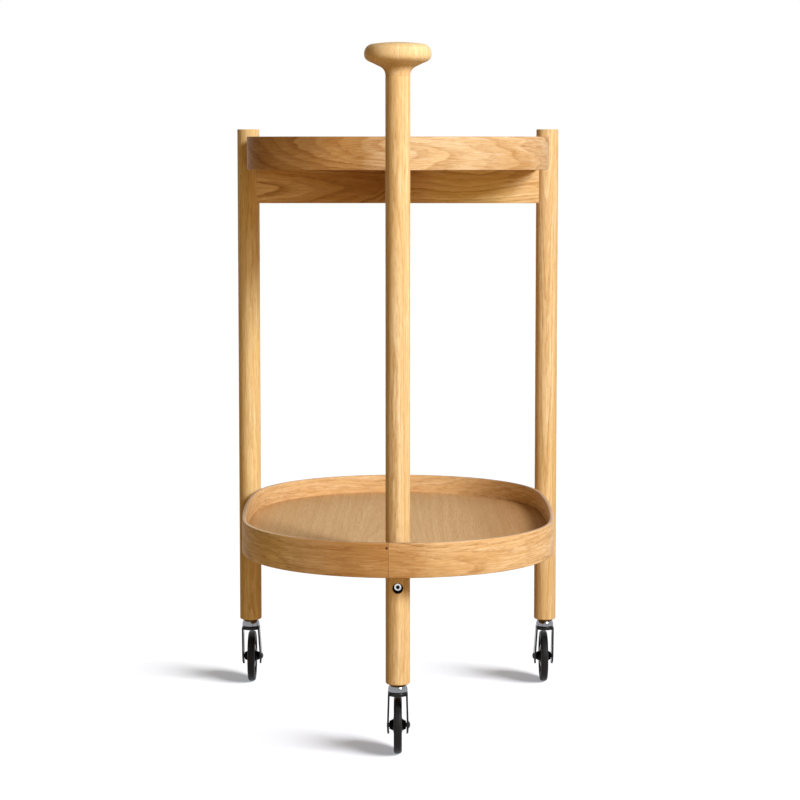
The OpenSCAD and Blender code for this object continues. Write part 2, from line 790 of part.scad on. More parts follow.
module caster_hub() {
    bore_r = axle_r + running_fit;
    rim_r = tyre_inner_r - glue_line;
    rim_in_r = rim_r - wheel_rim_t;
    end_r = hub_end_d / 2;
    side = [
        [bore_r, hub_half], [end_r - hub_chamfer, hub_half], [end_r, hub_half - hub_chamfer],
        [hub_root_d / 2, web_root_t / 2], [rim_in_r - rim_slope, web_t / 2],
        [rim_in_r, web_t / 2 + rim_slope], [rim_in_r, wheel_rim_w / 2], [rim_r, wheel_rim_w / 2]
    ];
    other_side = [for (i = [len(side) - 1 : -1 : 0]) [side[i].x, -side[i].y]];
    color(black) wheel_turned() polygon(concat(side, other_side));
}

module caster_tyre() {
    half = tyre_w / 2;
    shoulder = tyre_shoulder;
    color(rubber) wheel_turned() {
        translate([tyre_inner_r, -half]) square([tyre_t - shoulder, tyre_w]);
        translate([tyre_inner_r, shoulder - half]) square([tyre_t, tyre_w - 2 * shoulder]);
        for (side = [-1, 1]) translate([wheel_r - shoulder, side * (half - shoulder)])
            circle(shoulder, $fn = round_fn);
    }
}

module front_caster_stem() { translate(leg_spots[0]) caster_stem(); }
module front_caster_cup() { translate(leg_spots[0]) caster_cup(); }
module front_caster_ring() { translate(leg_spots[0]) caster_ring(); }
module front_caster_fork() { translate(leg_spots[0]) caster_fork(); }
module front_caster_axle() { translate(leg_spots[0]) caster_axle(1); }
module front_caster_hub() { translate(leg_spots[0]) caster_hub(); }
module front_caster_tyre() { translate(leg_spots[0]) caster_tyre(); }
module rear_left_caster_stem() { translate(leg_spots[1]) caster_stem(); }
module rear_left_caster_cup() { translate(leg_spots[1]) caster_cup(); }
module rear_left_caster_ring() { translate(leg_spots[1]) caster_ring(); }
module rear_left_caster_fork() { translate(leg_spots[1]) caster_fork(); }
module rear_left_caster_axle() { translate(leg_spots[1]) caster_axle(1); }
module rear_left_caster_hub() { translate(leg_spots[1]) caster_hub(); }
module rear_left_caster_tyre() { translate(leg_spots[1]) caster_tyre(); }
module rear_right_caster_stem() { translate(leg_spots[2]) caster_stem(); }
module rear_right_caster_cup() { translate(leg_spots[2]) caster_cup(); }
module rear_right_caster_ring() { translate(leg_spots[2]) caster_ring(); }
module rear_right_caster_fork() { translate(leg_spots[2]) caster_fork(); }
module rear_right_caster_axle() { translate(leg_spots[2]) caster_axle(-1); }
module rear_right_caster_hub() { translate(leg_spots[2]) caster_hub(); }
module rear_right_caster_tyre() { translate(leg_spots[2]) caster_tyre(); }

front_leg();
rear_left_leg();
rear_right_leg();
handle_knob();
knob_dowel();
upper_tray_rim();
upper_tray_board();
lower_tray_rim();
lower_tray_board();
upper_rear_rail();
upper_stretcher();
upper_frame_dowels();
lower_rear_rail();
lower_stretcher();
lower_frame_dowels();
tray_screws();
front_bolt();
barrel_nut();
stem_inserts();
front_caster_stem();
front_caster_cup();
front_caster_ring();
front_caster_fork();
front_caster_axle();
front_caster_hub();
front_caster_tyre();
rear_left_caster_stem();
rear_left_caster_cup();
rear_left_caster_ring();
rear_left_caster_fork();
rear_left_caster_axle();
rear_left_caster_hub();
rear_left_caster_tyre();
rear_right_caster_stem();
rear_right_caster_cup();
rear_right_caster_ring();
rear_right_caster_fork();
rear_right_caster_axle();
rear_right_caster_hub();
rear_right_caster_tyre();
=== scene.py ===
import bmesh
import bpy
import json
import math
import random
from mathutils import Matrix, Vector


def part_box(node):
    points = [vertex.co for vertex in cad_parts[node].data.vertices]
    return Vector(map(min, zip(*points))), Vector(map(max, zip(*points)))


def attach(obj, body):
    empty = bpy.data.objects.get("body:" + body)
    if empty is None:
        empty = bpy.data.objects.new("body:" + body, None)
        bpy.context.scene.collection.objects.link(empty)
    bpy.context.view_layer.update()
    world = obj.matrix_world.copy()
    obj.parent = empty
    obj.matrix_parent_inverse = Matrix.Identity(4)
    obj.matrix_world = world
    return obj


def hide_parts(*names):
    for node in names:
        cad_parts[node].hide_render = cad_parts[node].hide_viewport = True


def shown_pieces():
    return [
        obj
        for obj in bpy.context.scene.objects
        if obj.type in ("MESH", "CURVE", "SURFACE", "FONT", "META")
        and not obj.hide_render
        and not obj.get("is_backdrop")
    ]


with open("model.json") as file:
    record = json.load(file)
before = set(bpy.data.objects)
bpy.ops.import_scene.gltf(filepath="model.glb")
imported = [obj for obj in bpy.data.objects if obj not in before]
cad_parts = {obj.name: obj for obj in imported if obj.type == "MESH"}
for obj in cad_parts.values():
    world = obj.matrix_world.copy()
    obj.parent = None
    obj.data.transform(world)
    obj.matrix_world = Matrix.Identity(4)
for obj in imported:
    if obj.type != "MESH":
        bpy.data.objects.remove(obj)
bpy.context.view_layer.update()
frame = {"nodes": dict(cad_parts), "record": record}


# Sizes in metres, read from the frame where they can be

X, Y, Z = range(3)


def centre(node):
    lo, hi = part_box(node)
    return (Vector(lo) + Vector(hi)) / 2


def size(node, axis):
    lo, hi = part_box(node)
    return hi[axis] - lo[axis]


def top(node):
    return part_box(node)[1][Z]


def bottom(node):
    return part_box(node)[0][Z]


LEGS = {key: centre(key + "_leg") for key in ("front", "rear_left", "rear_right")}
LEG_R = size("front_leg", X) / 2
KNOB = centre("handle_knob")
BOLT = centre("front_bolt")
BOLT_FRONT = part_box("front_bolt")[0][Y]
RAIL_X = LEGS["rear_right"].x
RAIL_Y = LEGS["rear_right"].y
RAIL_BACK = RAIL_Y - size("upper_rear_rail", Y) / 2

# Play between glued pieces
GLUE = 0.00005
RIM_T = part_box("lower_tray_rim")[1][X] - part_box("lower_tray_board")[1][X] - GLUE
# A height between the two tiers
TIERS_PART = 0.5

# The bolt's counterbore in the front leg, and the socket in the bolt's head
BOLT_HOLE_R = 0.0071
LEG_SKIN = 0.00008
SOCKET_R = 0.00305
SOCKET_FROM = 0.0001
SOCKET_TO = 0.004

# Counterbores for the tray screws: radius, how far they go past the head, and below the timber
SCREW_HOLE_R = 0.00405
PAST_HEAD = 0.0001
BELOW_TIMBER = 0.0011
SCREW_REACH = 0.012

# Plan of each tray: corner radius, how far its sides and its ends bow out
LOWER_PLAN = (0.195, 0.004, 0.004)
UPPER_PLAN = (0.100, 0.003, 0.005)
PLAN_STEP = 0.004
# Where each rim's ends meet, along the rim from the middle of its front, and the gap there
LOWER_SEAM = 0.0115
UPPER_SEAM = 0.002
SEAM_GAP = 0.0003
# How far the edges are rounded
RIM_EDGE = 0.0009
BOARD_EDGE = 0.0008
BAR_EDGE = 0.0012


# Mesh helpers

def new_object(name, mesh):
    o = bpy.data.objects.new(name, mesh)
    bpy.context.scene.collection.objects.link(o)
    return o


def smooth(o, sharp=35.0):
    """Smooth faces, except over edges sharper than the angle."""
    me = o.data
    me.polygons.foreach_set("use_smooth", [True] * len(me.polygons))
    bm = bmesh.new()
    bm.from_mesh(me)
    limit = math.radians(sharp)
    for e in bm.edges:
        e.smooth = len(e.link_faces) == 2 and e.calc_face_angle(0.0) <= limit
    bm.to_mesh(me)
    bm.free()


def make(name, verts, faces, sharp=35.0):
    """A piece from points and faces, its faces turned outwards."""
    me = bpy.data.meshes.new(name)
    me.from_pydata([tuple(v) for v in verts], [], faces)
    me.validate()
    bm = bmesh.new()
    bm.from_mesh(me)
    bmesh.ops.recalc_face_normals(bm, faces=bm.faces)
    bm.to_mesh(me)
    bm.free()
    o = new_object(name, me)
    smooth(o, sharp)
    return o


def rods(spots, r, length, n=32):
    """Upright closed cylinders, each spot the middle of one."""
    verts, faces = [], []
    for c in spots:
        base = len(verts)
        for end in (-0.5, 0.5):
            for i in range(n):
                a = 2 * math.pi * i / n
                verts.append(c + Vector((r * math.cos(a), r * math.sin(a), length * end)))
        for i in range(n):
            j = (i + 1) % n
            faces.append((base + i, base + j, base + n + j, base + n + i))
        faces.append(tuple(base + i for i in reversed(range(n))))
        faces.append(tuple(base + n + i for i in range(n)))
    return make("cutter", verts, faces)


def cut(o, cutter):
    """Takes the cutter's volume out of the piece."""
    mod = o.modifiers.new("cut", "BOOLEAN")
    mod.operation = "DIFFERENCE"
    mod.solver = "EXACT"
    mod.object = cutter
    dg = bpy.context.evaluated_depsgraph_get()
    me = bpy.data.meshes.new_from_object(o.evaluated_get(dg))
    o.modifiers.clear()
    solid = o.data
    o.data = me
    tool = cutter.data
    bpy.data.objects.remove(cutter)
    for used in (solid, tool):
        bpy.data.meshes.remove(used)
    smooth(o)


def node_copy(node, name):
    """A copy of a node's own shape, to carry the grain and more than one material."""
    return new_object(name, frame["nodes"][node].data.copy())


def mark_faces(o, test):
    """Gives the faces whose middle and normal pass the test the piece's second material."""
    me = o.data
    me.polygons.foreach_set("material_index", [1 if test(p.center, p.normal) else 0 for p in me.polygons])


def fade(a, b, x):
    """0 up to a, 1 from b on, smooth between."""
    k = min(1.0, max(0.0, (x - a) / (b - a)))
    return k * k * (3 - 2 * k)


# Where each piece lies in its tree

def store_grain(o, places):
    """Stores, for each point, its place in the tree: along the grain, across it, and its depth."""
    a = o.data.attributes.new("grain", "FLOAT_VECTOR", "POINT")
    a.data.foreach_set("vector", [c for p in places for c in p])


def store_tone_and_painted_light(o, tones_and_painted_light):
    """Stores how much darker (above zero) or paler (below) the timber is at each point: its own tone,
    and on some pieces painted shade and painted light.
    """
    a = o.data.attributes.new("tone_and_painted_light", "FLOAT", "POINT")
    a.data.foreach_set("value", tones_and_painted_light)


def set_grain(o, place):
    store_grain(o, [place(v.co) for v in o.data.vertices])


def set_tone_and_painted_light(o, tone_and_painted_light):
    store_tone_and_painted_light(o, [tone_and_painted_light(v.co) for v in o.data.vertices])


def timber(seed, along, across, mid, pith, tilt=0.0, shift=0.0):
    """A piece's place in its tree. along and across are two axes, mid is the piece's middle, pith how
    far the heart of the tree is from it, and tilt makes the grain run out of the face."""
    start = random.Random(seed).uniform(-3, 3)
    deep = 3 - along - across

    def place(c):
        p = c - mid
        return (p[along] + start, p[across] + shift, p[deep] + pith + tilt * p[along])
    return place


# Materials

class Nodes:
    """A material's nodes, with short forms for adding to them."""

    def __init__(self, name):
        self.mat = bpy.data.materials.new(name)
        self.mat.use_nodes = True
        self.tree = self.mat.node_tree
        self.tree.nodes.clear()
        out = self.add("ShaderNodeOutputMaterial")
        self.bsdf = self.add("ShaderNodeBsdfPrincipled")
        self.link(self.bsdf.outputs[0], out.inputs[0])

    def add(self, kind, **props):
        n = self.tree.nodes.new(kind)
        for k, v in props.items():
            setattr(n, k, v)
        return n

    def link(self, a, b):
        self.tree.links.new(a, b)

    def put(self, socket, value):
        if isinstance(value, bpy.types.NodeSocket):
            self.link(value, socket)
        elif isinstance(value, tuple) and socket.type == "RGBA":
            socket.default_value = (*value, 1.0)
        else:
            socket.default_value = value

    def attribute(self, name, output):
        return self.add("ShaderNodeAttribute", attribute_name=name).outputs[output]

    def math(self, op, *values):
        n = self.add("ShaderNodeMath", operation=op)
        for socket, value in zip(n.inputs, values):
            self.put(socket, value)
        return n.outputs[0]

    def vector(self, op, *values):
        n = self.add("ShaderNodeVectorMath", operation=op)
        for socket, value in zip(n.inputs, values):
            self.put(socket, value)
        return n.outputs["Value" if op == "LENGTH" else "Vector"]

    def split(self, vec):
        n = self.add("ShaderNodeSeparateXYZ")
        self.link(vec, n.inputs[0])
        return n.outputs

    def join(self, x, y, z):
        n = self.add("ShaderNodeCombineXYZ")
        for socket, value in zip(n.inputs, (x, y, z)):
            self.put(socket, value)
        return n.outputs[0]

    def noise(self, vec, scale=1.0, detail=2.0, rough=0.5):
        """Smooth noise. scale is one number, or one for each of the three directions."""
        if isinstance(scale, tuple):
            vec = self.vector("MULTIPLY", vec, scale)
            scale = 1.0
        n = self.add("ShaderNodeTexNoise")
        self.link(vec, n.inputs["Vector"])
        n.inputs["Scale"].default_value = scale
        n.inputs["Detail"].default_value = detail
        n.inputs["Roughness"].default_value = rough
        return n.outputs[0]

    def wander(self, value):
        """Smooth noise along one value."""
        n = self.add("ShaderNodeTexNoise", noise_dimensions="1D")
        self.link(value, n.inputs["W"])
        n.inputs["Scale"].default_value = 1.0
        n.inputs["Detail"].default_value = 0.0
        return n.outputs[0]

    def ramp(self, fac, *stops):
        """A curve through (place, height) stops."""
        n = self.add("ShaderNodeValToRGB")
        n.color_ramp.interpolation = "EASE"
        e = n.color_ramp.elements
        while len(e) > 1:
            e.remove(e[-1])
        for i, (place, height) in enumerate(stops):
            stop = e.new(place) if i else e[0]
            stop.position = place
            stop.color = (height, height, height, 1.0)
        self.link(fac, n.inputs[0])
        return n.outputs[0]

    def mix(self, fac, a, b, blend="MIX"):
        n = self.add("ShaderNodeMix", data_type="RGBA", blend_type=blend)
        for socket, value in ((n.inputs[0], fac), (n.inputs[6], a), (n.inputs[7], b)):
            self.put(socket, value)
        return n.outputs[2]

    def bump(self, height, strength, distance):
        n = self.add("ShaderNodeBump")
        n.inputs["Strength"].default_value = strength
        n.inputs["Distance"].default_value = distance
        self.link(height, n.inputs["Height"])
        self.link(n.outputs[0], self.bsdf.inputs["Normal"])


def oak(name, light, mid, dark, ring=0.0034, figure=1.0, fibre=1.0, flecks=1.0, pores=1.0, rough=0.5,
        spec=0.08, knot=None):
    """Lacquered oak: growth rings a ring's width apart, fibres and open pores along the grain, rays
    and slow changes of tone. knot is where a small knot lies along and across the grain, and its
    radius. Noise scales are per metre: along the grain, across it and in depth."""
    t = Nodes(name)
    pale = tuple(min(1.0, c * k) for c, k in zip(light, (1.05, 1.13, 1.28)))
    brown = tuple(c * k for c, k in zip(mid, (0.84, 0.76, 0.62)))
    grain = t.attribute("grain", "Vector")
    along, across, depth = t.split(grain)

    # Slow bends and small ripples of the grain, followed by the rings and the fibres alike
    bend = t.math("SUBTRACT", t.noise(grain, (2.6, 16.0, 16.0), 2.0, 0.45), 0.5)
    ripple = t.math("SUBTRACT", t.noise(grain, (14.0, 60.0, 60.0), 2.0, 0.5), 0.5)
    bend_rings, ripple_rings = 6.0, 1.2
    bend_way, ripple_way = 0.030, 0.012

    # Growth rings round the heart of the tree. The porous early wood starts abruptly and thins out
    # through the ring, and each ring has its own strength
    rings = t.math("DIVIDE", t.vector("LENGTH", t.join(0.0, across, depth)), ring)
    rings = t.math("MULTIPLY_ADD", bend, bend_rings, rings)
    rings = t.math("MULTIPLY_ADD", ripple, ripple_rings, rings)
    early = t.ramp(t.math("FRACT", rings), (0.0, 0.0), (0.10, 1.0), (0.30, 0.70), (0.62, 0.15), (1.0, 0.0))
    strength = t.wander(t.math("MULTIPLY", t.math("FLOOR", rings), 3.7))
    early = t.math("MULTIPLY", early, t.ramp(strength, (0.3, 0.35), (0.7, 1.0)))
    broad = t.ramp(t.wander(t.math("MULTIPLY", rings, 0.42)), (0.34, 0.0), (0.66, 1.0))

    # Fibres, flecks, pores and rays run with the bends
    flow = t.join(along, t.math("MULTIPLY_ADD", bend, bend_way, across),
                  t.math("MULTIPLY_ADD", ripple, ripple_way, depth))
    strand = t.ramp(t.noise(flow, (8.0, 330.0, 330.0), 3.0, 0.62), (0.36, 0.0), (0.66, 1.0))
    gleam = t.ramp(t.noise(flow, (13.0, 240.0, 240.0), 2.0, 0.55), (0.50, 0.0), (0.70, 1.0))
    fleck = t.ramp(t.noise(flow, (42.0, 560.0, 560.0), 2.0, 0.6), (0.46, 0.0), (0.63, 1.0))
    fleck = t.math("MULTIPLY", fleck, t.math("MULTIPLY_ADD", early, 0.60, 0.40))
    pore = t.ramp(t.noise(flow, (55.0, 1400.0, 1400.0), 1.0, 0.6), (0.50, 0.0), (0.64, 1.0))
    pore = t.math("MULTIPLY", pore, t.math("MULTIPLY_ADD", early, 0.75, 0.25))
    ray = t.ramp(t.noise(flow, (45.0, 900.0, 130.0), 1.0, 0.5), (0.60, 0.0), (0.72, 1.0))

    # Colour, from the broadest change to the finest
    cloud = t.noise(grain, (3.5, 22.0, 22.0), 3.0, 0.6)
    body = t.mix(t.ramp(cloud, (0.32, 0.0), (0.68, 1.0)), light, mid)
    for layer, share, colour in (
            (broad, 0.45 * figure, brown), (gleam, 0.42 * fibre, pale), (strand, 0.50 * fibre, brown),
            (early, 0.34 * figure, dark), (fleck, 0.62 * flecks, dark),
            (pore, 0.40 * pores, tuple(c * 0.60 for c in dark)), (ray, 0.22, pale)):
        body = t.mix(t.math("MULTIPLY", layer, share), body, colour)
    # The tone attribute darkens or pales the colour: the timber's own tone, and on some pieces painted shade and
    # painted light
    tone_and_painted_light = t.attribute("tone_and_painted_light", "Fac")
    body = t.mix(t.math("MAXIMUM", tone_and_painted_light, 0.0), body, (0.59, 0.44, 0.27), "MULTIPLY")
    body = t.mix(t.math("MAXIMUM", t.math("MULTIPLY", tone_and_painted_light, -1.0), 0.0), body, (1.17, 1.27, 1.22), "MULTIPLY")
    if knot:
        away = t.vector("SUBTRACT", t.join(along, across, 0.0), (knot[0], knot[1], 0.0))
        near = t.ramp(t.math("DIVIDE", t.vector("LENGTH", away), knot[2]), (0.55, 1.0), (1.0, 0.0))
        body = t.mix(near, body, (0.11, 0.028, 0.020))
    t.link(body, t.bsdf.inputs["Base Color"])

    # The lacquer is duller in the pores, which are open
    dull = t.math("MULTIPLY_ADD", pore, 0.16, rough - 0.05)
    t.link(t.math("MULTIPLY_ADD", cloud, 0.10, dull), t.bsdf.inputs["Roughness"])
    t.bsdf.inputs["Specular IOR Level"].default_value = spec
    height = t.math("SUBTRACT", 1.0, t.math("MULTIPLY", pore, 0.8))
    t.bump(t.math("MULTIPLY_ADD", fleck, -0.35, height), 0.25, 0.0004)
    return t.mat


def plain(name, colour, metallic=0.0, rough=0.4, spec=0.5, spots=400.0, vary=0.08, amount=0.12):
    """A moulded, painted or plated surface with a little unevenness. spots is how fine it is, vary
    how much the gloss changes over it and amount how much the colour does."""
    t = Nodes(name)
    place = t.add("ShaderNodeTexCoord").outputs["Object"]
    fine = t.noise(place, spots, 3.0, 0.6)
    broad = t.noise(place, spots / 12, 2.0, 0.5)
    low = tuple(c * (1 - amount) for c in colour)
    high = tuple(min(1.0, c * (1 + amount)) for c in colour)
    t.link(t.mix(broad, low, high), t.bsdf.inputs["Base Color"])
    t.link(t.math("MULTIPLY_ADD", fine, vary, rough - vary / 2), t.bsdf.inputs["Roughness"])
    t.bsdf.inputs["Metallic"].default_value = metallic
    t.bsdf.inputs["Specular IOR Level"].default_value = spec
    t.bump(fine, 0.05, 0.0002)
    return t.mat


# Where the small knot beside the lower rim's seam lies, along the band and up it, and its radius
LOWER_RIM_FROM = 1.7
LOWER_RIM_UP = 0.010
KNOT = (LOWER_RIM_FROM + 0.0022, LOWER_RIM_UP + 0.0160, 0.0023)

MATERIAL = {
    "oak": oak("oak", (0.90, 0.70, 0.43), (0.81, 0.58, 0.295), (0.52, 0.285, 0.095), figure=1.5),
    # Upper rim
    "oak_pale": oak("oak_pale", (0.89, 0.72, 0.50), (0.84, 0.63, 0.39), (0.49, 0.255, 0.095), figure=2.1,
                    flecks=1.3),
    # Lower rim
    "oak_low": oak("oak_low", (0.86, 0.61, 0.35), (0.76, 0.50, 0.25), (0.48, 0.25, 0.09), figure=0.75,
                   fibre=1.3, flecks=1.35, rough=0.52, knot=KNOT),
    # Upper and lower edges of the rims
    "oak_edge": oak("oak_edge", (0.72, 0.52, 0.36), (0.62, 0.44, 0.30), (0.42, 0.28, 0.19), figure=0.2,
                    fibre=0.5),
    "oak_board": oak("oak_board", (0.80, 0.555, 0.31), (0.74, 0.495, 0.26), (0.56, 0.345, 0.16),
                     ring=0.0030, figure=0.6, fibre=0.6, flecks=0.75, rough=0.6, spec=0.05),
    "oak_rail": oak("oak_rail", (0.91, 0.68, 0.40), (0.83, 0.58, 0.30), (0.44, 0.225, 0.07), figure=2.2,
                    flecks=0.9),
    "oak_knob": oak("oak_knob", (0.89, 0.68, 0.40), (0.82, 0.59, 0.31), (0.56, 0.33, 0.13), figure=0.5,
                    flecks=0.9, pores=0.7),
    # Painted shade inside the bolt's hole: near-black timber on its wall
    "bore_painted_shade": oak("bore_painted_shade", (0.050, 0.032, 0.018), (0.036, 0.023, 0.013), (0.020, 0.012, 0.008),
                    rough=0.6),
    "beech": plain("beech", (0.70, 0.52, 0.33), rough=0.6, spec=0.3),
    "steel": plain("steel", (0.72, 0.73, 0.75), metallic=1.0, rough=0.28, spots=900.0, amount=0.05),
    # Chrome with a base colour far below real chrome: painted dark reflections standing in for the dark things
    # the cups mirror
    "chrome": plain("chrome", (0.26, 0.265, 0.28), metallic=1.0, rough=0.07, spots=500.0, vary=0.04,
                    amount=0.02),
    # Painted shade inside the socket in the bolt's head
    "socket_painted_shade": plain("socket_painted_shade", (0.012, 0.012, 0.013), rough=0.5, spec=0.2),
    "nylon": plain("nylon", (0.05, 0.05, 0.052), rough=0.5),
    "black_paint": plain("black_paint", (0.010, 0.010, 0.011), rough=0.22, spec=0.22, spots=700.0,
                         amount=0.2),
    "black_plastic": plain("black_plastic", (0.010, 0.010, 0.011), rough=0.34, spec=0.2, spots=600.0,
                           amount=0.2),
    "tyre": plain("tyre", (0.013, 0.013, 0.014), rough=0.45, spec=0.12, spots=1200.0, vary=0.14, amount=0.25),
}
replaced = set()


def finish_piece(o, slot, node, *look):
    """Puts the piece in a node's place. look names its materials, or else the slot does."""
    faces = o.data.polygons
    index = [p.material_index for p in faces]
    o.data.materials.clear()
    for name in look or (slot,):
        o.data.materials.append(MATERIAL[name])
    faces.foreach_set("material_index", [min(i, len(o.data.materials) - 1) for i in index])
    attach(o, "root")
    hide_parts(node)
    replaced.add(node)


# Legs, knob and bolt

def in_bolt_hole(c, normal):
    """Whether a face of the front leg belongs to the bolt's hole, which gets painted shade."""
    leg = LEGS["front"]
    inside = math.hypot(c.x - leg.x, c.y - leg.y) < LEG_R - LEG_SKIN
    return inside and c.y < leg.y and math.hypot(c.x - BOLT.x, c.z - BOLT.z) < BOLT_HOLE_R


def in_socket(c, normal):
    """Whether a face of the bolt belongs to the socket in its head, which gets painted shade."""
    deep = c.y - BOLT_FRONT
    return math.hypot(c.x - BOLT.x, c.z - BOLT.z) < SOCKET_R and SOCKET_FROM < deep < SOCKET_TO


def upright(node, seed, mid, pith, tilt, shift, tone_and_painted_light):
    """A copy of a turned upright piece, with its grain running up it."""
    o = node_copy(node, node + "_turned")
    set_grain(o, timber(seed, Z, X, mid, pith, tilt, shift))
    set_tone_and_painted_light(o, tone_and_painted_light)
    return o


front_leg = upright("front_leg", 11, LEGS["front"], 0.046, 0.010, 0.012, lambda c: 0.0)
# The faces of the bolt's hole get near-black timber: painted shade
mark_faces(front_leg, in_bolt_hole)
finish_piece(front_leg, "oak", "front_leg", "oak", "bore_painted_shade")
left_leg = upright("rear_left_leg", 23, LEGS["rear_left"], 0.050, 0.016, -0.004, lambda c: -0.36)
finish_piece(left_leg, "oak", "rear_left_leg")
right_leg = upright("rear_right_leg", 37, LEGS["rear_right"], 0.040, -0.018, 0.003, lambda c: 0.08)
finish_piece(right_leg, "oak", "rear_right_leg")
# Painted shade: the knob is darker from just below its middle down through its neck than at its head
knob = upright("handle_knob", 5, KNOB, 0.030, 0.0, 0.045,
               lambda c: 0.38 * (1 - fade(-0.009, -0.003, c.z - KNOB.z)))
finish_piece(knob, "oak", "handle_knob", "oak_knob")
bolt = node_copy("front_bolt", "front_bolt_turned")
# The socket's faces get near-black: painted shade
mark_faces(bolt, in_socket)
finish_piece(bolt, "steel", "front_bolt", "steel", "socket_painted_shade")


# Trays

def oval_path(node, corner_r, side_bow, end_bow):
    """Points (x, y, nx, ny, s) round a rim's outer face: place, outward normal and length so far,
    from the middle of the front and round by the left."""
    mid = centre(node)
    w, l = size(node, X) / 2, size(node, Y) / 2
    cx, cy = w - corner_r - side_bow, l - corner_r - end_bow
    side_r = (cy * cy + 2 * corner_r * side_bow + side_bow ** 2) / (2 * side_bow)
    end_r = (cx * cx + 2 * corner_r * end_bow + end_bow ** 2) / (2 * end_bow)
    side_end = math.atan2(cy, cx - w + side_r)
    corner_end = math.atan2(cy - l + end_r, cx)
    # A quarter of the oval: side, corner and end, each as middle, radius, first and last angle
    quarter = []
    for ax, ay, r, a0, a1 in (
            (w - side_r, 0.0, side_r, 0.0, side_end), (cx, cy, corner_r, side_end, corner_end),
            (0.0, l - end_r, end_r, corner_end, math.pi / 2)):
        n = max(3, int((a1 - a0) * r / PLAN_STEP))
        for i in range(n):
            a = a0 + (a1 - a0) * i / n
            quarter.append((ax + r * math.cos(a), ay + r * math.sin(a), math.cos(a), math.sin(a)))
    quarter.append((0.0, l, 0.0, 1.0))
    back = quarter[::-1]
    loop = [(-x, -y, -nx, -ny) for x, y, nx, ny in back]
    loop += [(-x, y, -nx, ny) for x, y, nx, ny in quarter[1:]]
    loop += back[1:]
    loop += [(x, -y, nx, -ny) for x, y, nx, ny in quarter[1:]]
    s, path = 0.0, []
    for i, (x, y, nx, ny) in enumerate(loop):
        if i:
            s += math.hypot(x - loop[i - 1][0], y - loop[i - 1][1])
        path.append((x + mid.x, y + mid.y, nx, ny, s))
    return path


def open_at(path, seam):
    """The same loop, starting and ending at the point nearest to a length along it."""
    total = path[-1][4]
    points = path[:-1]
    k = min(range(len(points)), key=lambda i: abs(points[i][4] - seam))
    turned = points[k:] + points[:k]
    first = turned[0][4]
    out = [(x, y, nx, ny, (s - first) % total) for x, y, nx, ny, s in turned]
    return out + [(*turned[0][:4], total)]


def bent_rim(node, path, place, tone_and_painted_light, look):
    """A bent band with eased edges, whose ends meet with a fine gap. place gives a point's place in
    the tree from its length along the band, height over the band's middle and depth, and the tone
    function the timber's tone, with painted shade where it is laid on, from its share of the way round."""
    z0, z1 = bottom(node), top(node)
    e, t = RIM_EDGE, RIM_T
    k = e * (1 - math.sqrt(0.5))
    # Section as (depth from the outer face, height): lower edge, inner face, upper edge, outer face
    lower_edge = [(0.0, z0 + e), (k, z0 + k), (e, z0), (t - e, z0), (t - k, z0 + k), (t, z0 + e)]
    upper_edge = [(d, z0 + z1 - z) for d, z in reversed(lower_edge)]
    low, high = (z0 + (z1 - z0) * share for share in (0.3, 0.7))
    section = lower_edge + [(t, low), (t, high)] + upper_edge + [(0.0, high), (0.0, low)]
    m = len(section)
    total = path[-1][4]
    verts, faces, places, tones_and_painted_light = [], [], [], []
    for i, (x, y, nx, ny, s) in enumerate(path):
        # The ends are pulled back along the band
        pull = {0: SEAM_GAP / 2, len(path) - 1: -SEAM_GAP / 2}.get(i, 0.0)
        for d, z in section:
            verts.append((x - nx * d + ny * pull, y - ny * d - nx * pull, z))
            places.append(place(s, z - (z0 + z1) / 2, d))
            tones_and_painted_light.append(tone_and_painted_light(s / total))
    for i in range(len(path) - 1):
        for j in range(m):
            a, b = i * m + j, i * m + (j + 1) % m
            faces.append((a, b, b + m, a + m))
    last = (len(path) - 1) * m
    faces += [tuple(range(m)), tuple(last + j for j in reversed(range(m)))]
    o = make(node + "_bent", verts, faces, 50.0)
    store_grain(o, places)
    store_tone_and_painted_light(o, tones_and_painted_light)
    mark_faces(o, lambda c, normal: abs(normal.z) > 0.9)
    finish_piece(o, "oak", node, look, "oak_edge")


def tray_board(node, path, seed, pith, tilt, shift, tone_and_painted_light=lambda c: 0.0):
    """The solid board inside a rim, with its upper edge eased and its grain from front to back."""
    mid = centre(node)
    z0, z1 = bottom(node), top(node)
    off, e = RIM_T + GLUE, BOARD_EDGE
    k = e * (1 - math.sqrt(0.5))
    section = [(off, z0), (off, z1 - e), (off + k, z1 - k), (off + e, z1)]
    m = len(section)
    rows = path[:-1]
    n = len(rows)
    verts = [(x - nx * d, y - ny * d, z) for x, y, nx, ny, s in rows for d, z in section]
    faces = []
    for i in range(n):
        nxt = (i + 1) % n
        for j in range(m - 1):
            faces.append((i * m + j, i * m + j + 1, nxt * m + j + 1, nxt * m + j))
    # Top and bottom are rings that shrink towards the middle, so that the tone can change over them
    rings = 10
    for j in (m - 1, 0):
        outer = [i * m + j for i in range(n)]
        rim_line = [verts[i] for i in outer]
        for share in range(rings - 1, 0, -1):
            inner = list(range(len(verts), len(verts) + n))
            for x, y, z in rim_line:
                verts.append((mid.x + (x - mid.x) * share / rings, mid.y + (y - mid.y) * share / rings, z))
            faces += [(outer[i], outer[(i + 1) % n], inner[(i + 1) % n], inner[i]) for i in range(n)]
            outer = inner
        faces.append(tuple(outer))
    o = make(node + "_flat", verts, faces, 50.0)
    set_grain(o, timber(seed, Y, X, mid, pith, tilt, shift))
    set_tone_and_painted_light(o, tone_and_painted_light)
    finish_piece(o, "oak_board", node)


lower_path = oval_path("lower_tray_rim", *LOWER_PLAN)
upper_path = oval_path("upper_tray_rim", *UPPER_PLAN)
UPPER_ROUND = upper_path[-1][4]


